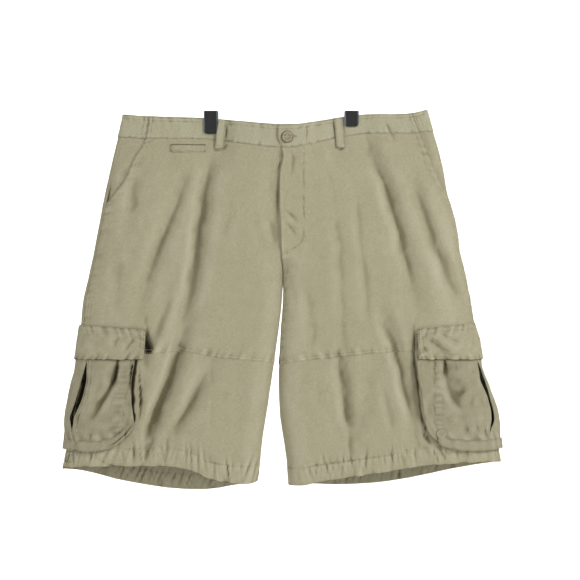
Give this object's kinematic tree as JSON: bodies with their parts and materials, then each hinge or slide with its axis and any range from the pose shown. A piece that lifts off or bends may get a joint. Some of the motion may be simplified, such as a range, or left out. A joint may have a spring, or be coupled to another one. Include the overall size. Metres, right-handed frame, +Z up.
{
  "type": "cargo shorts on hanger clips",
  "caption": "Knee-length canvas cargo shorts with flapped bellows side pockets, hanging flat from the two clips of a trouser hanger.",
  "frame": {"origin": "midway between the eyes of the two hanger clips, on the line of the hanger's bar", "axes": "+X to the right as seen from the front, +Y from the front to the back, +Z up"},
  "size_m": [0.7331, 0.0699, 0.6349],
  "materials": {
    "canvas": "washed khaki cotton canvas, matte",
    "horn": "satin horn-coloured resin",
    "clip_plastic": "satin black"
  },
  "bodies": {
    "root": {"front_upper_left": "canvas", "front_upper_right": "canvas", "back_upper_left": "canvas", "back_upper_right": "canvas", "front_lower_left": "canvas", "front_lower_right": "canvas", "back_lower_left": "canvas", "back_lower_right": "canvas", "pocket_facing_left": "canvas", "pocket_facing_right": "canvas", "waistband_front_left": "canvas", "waistband_front_right": "canvas", "waistband_back_left": "canvas", "waistband_back_right": "canvas", "cargo_face_left": "canvas", "cargo_face_right": "canvas", "cargo_band_left": "canvas", "cargo_band_right": "canvas", "cargo_flap_left": "canvas", "cargo_flap_right": "canvas", "cargo_gusset_left": "canvas", "cargo_gusset_right": "canvas", "belt_loop_front_left": "canvas", "belt_loop_front_right": "canvas", "belt_loop_back_left": "canvas", "belt_loop_back_middle": "canvas", "belt_loop_back_right": "canvas", "fly_shield": "canvas", "coin_welt": "canvas", "cargo_corner_tab": "canvas", "waist_button": "horn", "clip_left_front_jaw": "clip_plastic", "clip_left_back_jaw": "clip_plastic", "clip_left_eye": "clip_plastic", "clip_right_front_jaw": "clip_plastic", "clip_right_back_jaw": "clip_plastic", "clip_right_eye": "clip_plastic"}
  },
  "joints": []
}
